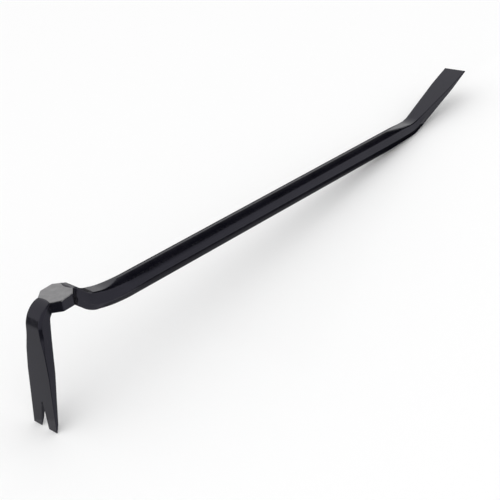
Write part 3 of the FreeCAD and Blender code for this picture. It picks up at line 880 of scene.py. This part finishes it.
def black_lacquer():
    """Satin black lacquer over a forging: uneven gloss, faint orange peel, and edges painted slightly
    lighter, as wear on the lacquer and as a painted highlight along them.
    """
    material = new_material("black_lacquer")
    add = node_maker(material)
    place = add("ShaderNodeTexCoord").outputs["Object"]
    broad = noise(add, place, 28.0, 3.0, 0.6)
    fine = noise(add, place, 420.0, 4.0, 0.65)
    peel = noise(add, place, 1300.0, 2.0)
    edge = add("ShaderNodeAttribute", attribute_name="edge").outputs["Fac"]
    body = ramp(add, broad, (0.0024, 0.0024, 0.0048), (0.005, 0.0048, 0.0084), 0.35, 0.68)
    patchy = spread(add, fine, 0.42, 0.66)
    # Patches along the rounded edges painted lighter: partly wear on the lacquer, partly a painted highlight
    # on the edges.
    wear_and_highlight = add("ShaderNodeMath", {0: edge, 1: patchy}, operation="MULTIPLY", use_clamp=True)
    colour = blend(add, wear_and_highlight.outputs["Value"], body, (0.012, 0.012, 0.014, 1))
    gloss = spread(add, broad, 0.3, 0.7, 0.16, 0.22)
    grain = spread(add, fine, 0.3, 0.7, -0.03, 0.03)
    rough = add("ShaderNodeMath", {0: gloss, 1: grain}, operation="ADD")
    height = add("ShaderNodeMath", {0: peel, 1: 0.35, 2: fine}, operation="MULTIPLY_ADD")
    shader = add(
        "ShaderNodeBsdfPrincipled",
        {
            "Base Color": colour,
            "Roughness": rough.outputs["Value"],
            "Normal": relief(add, height.outputs["Value"], 0.25, 0.06),
            "IOR": 1.4,
            "Specular Tint": (0.83, 0.81, 1.0, 1),
        },
    )
    add("ShaderNodeOutputMaterial", {"Surface": shader.outputs["BSDF"]})
    return material


def ground_steel():
    """Bare steel ground flat: fine parallel marks across the face and a soft sheen."""
    material = new_material("ground_steel")
    add = node_maker(material)
    place = add("ShaderNodeTexCoord").outputs["Object"]
    stretched = add("ShaderNodeMapping", {"Vector": place, "Scale": (1.0, 0.05, 1.0)})
    marks = noise(add, stretched.outputs["Vector"], 2600.0, 3.0, 0.7)
    cloud = noise(add, place, 160.0, 3.0)
    tone = ramp(add, cloud, (0.22, 0.218, 0.224), (0.28, 0.277, 0.283), 0.3, 0.7)
    lines = ramp(add, marks, (0.88, 0.88, 0.88), (1.0, 1.0, 1.0), 0.35, 0.6)
    shader = add(
        "ShaderNodeBsdfPrincipled",
        {
            "Base Color": blend(add, 1.0, tone, lines, "MULTIPLY"),
            "Metallic": 1.0,
            "Roughness": spread(add, marks, 0.3, 0.7, 0.30, 0.42),
            "Normal": relief(add, marks, 0.2, 0.02),
        },
    )
    add("ShaderNodeOutputMaterial", {"Surface": shader.outputs["BSDF"]})
    return material


def plain_material(name, colour, roughness):
    """A material of one even colour."""
    material = new_material(name)
    add = node_maker(material)
    shader = add("ShaderNodeBsdfPrincipled", {"Base Color": (*colour, 1), "Roughness": roughness})
    add("ShaderNodeOutputMaterial", {"Surface": shader.outputs["BSDF"]})
    return material


def make_panel(name, outline, grey):
    """A flat matt panel of the studio, drawn on the floor."""
    mesh = bpy.data.meshes.new(name)
    mesh.from_pydata([(x, y, 0) for x, y in outline], [], [list(range(len(outline)))])
    mesh.materials.append(plain_material(name, (grey, grey, grey), 1.0))
    panel = bpy.data.objects.new(name, mesh)
    bpy.context.scene.collection.objects.link(panel)
    return panel


def make_sky():
    """An even white sky, which is the only light."""
    scene = bpy.context.scene
    scene.view_settings.view_transform = "Standard"
    world = bpy.data.worlds.new("studio")
    world.use_nodes = True
    background = world.node_tree.nodes["Background"]
    background.inputs["Color"].default_value = (1.0, 1.0, 1.0, 1)
    background.inputs["Strength"].default_value = SKY_STRENGTH
    scene.world = world


def make_floor():
    """A pale floor just under the bar."""
    corners = [(-1, -1), (1, -1), (1, 1), (-1, 1)]
    floor = make_panel("floor", [(x * FLOOR_HALF, y * FLOOR_HALF) for x, y in corners], FLOOR_GREY)
    floor.location.z = -FLOOR_DEPTH


def make_painted_reflections():
    """Sheets that only the gloss shows: painted reflections. Their greys paint the dark and grey bands on the
    lacquer's facets.
    """
    overhead = make_panel("sheet_overhead", OVERHEAD_OUTLINE, OVERHEAD_GREY)
    overhead.location = Vector(OVERHEAD_AIM) * OVERHEAD_DISTANCE
    overhead.rotation_mode = "QUATERNION"
    overhead.rotation_quaternion = overhead.location.to_track_quat("Z", "Y")
    upright = make_panel("sheet_upright", UPRIGHT_OUTLINE, UPRIGHT_GREY)
    upright.location.y = UPRIGHT_Y
    upright.rotation_euler.x = math.radians(90)
    sheets = [overhead, upright]
    for name, (grey, outline) in PAINTED_FLOOR_REFLECTIONS.items():
        sheets.append(make_panel(name, outline, grey))
    # Hidden from the camera, from diffuse light and from shadows, so they show only as painted reflections.
    for sheet in sheets:
        sheet.visible_camera = False
        sheet.visible_diffuse = False
        sheet.visible_shadow = False


def make_camera():
    """The main viewpoint: from the claw's side, a little above, slightly tipped."""
    azimuth = math.radians(CAMERA_AZIMUTH)
    elevation = math.radians(CAMERA_ELEVATION)
    level = math.cos(elevation)
    back = Vector((math.sin(azimuth) * level, -math.cos(azimuth) * level, math.sin(elevation)))
    lens = bpy.data.cameras.new("camera")
    lens.lens = 75.717
    lens.sensor_width = 36.0
    lens.shift_x = 0.0064
    lens.shift_y = 0.0028
    lens.clip_end = 100.0
    camera = bpy.data.objects.new("camera", lens)
    camera.rotation_mode = "QUATERNION"
    camera.location = Vector(CAMERA_PLACE) * MM
    tipped = Matrix.Rotation(math.radians(CAMERA_ROLL), 3, "Z")
    camera.rotation_quaternion = (back.to_track_quat("Z", "Y").to_matrix() @ tipped).to_quaternion()
    bpy.context.scene.collection.objects.link(camera)
    bpy.context.scene.camera = camera


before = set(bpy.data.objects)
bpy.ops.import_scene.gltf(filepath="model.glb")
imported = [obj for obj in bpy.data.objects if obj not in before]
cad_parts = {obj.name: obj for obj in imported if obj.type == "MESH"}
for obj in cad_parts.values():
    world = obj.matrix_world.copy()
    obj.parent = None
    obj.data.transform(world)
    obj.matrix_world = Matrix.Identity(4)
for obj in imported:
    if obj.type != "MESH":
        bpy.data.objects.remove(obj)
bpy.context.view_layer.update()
lacquer = black_lacquer()
for node, piece in make_objects(make_forms()).items():
    piece.data.materials.append(lacquer)
    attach(piece, "root")
    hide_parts(node)
face = make_face()
face.data.materials.append(ground_steel())
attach(face, "root")
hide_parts("striking_face")
make_sky()
make_floor()
make_painted_reflections()
make_camera()
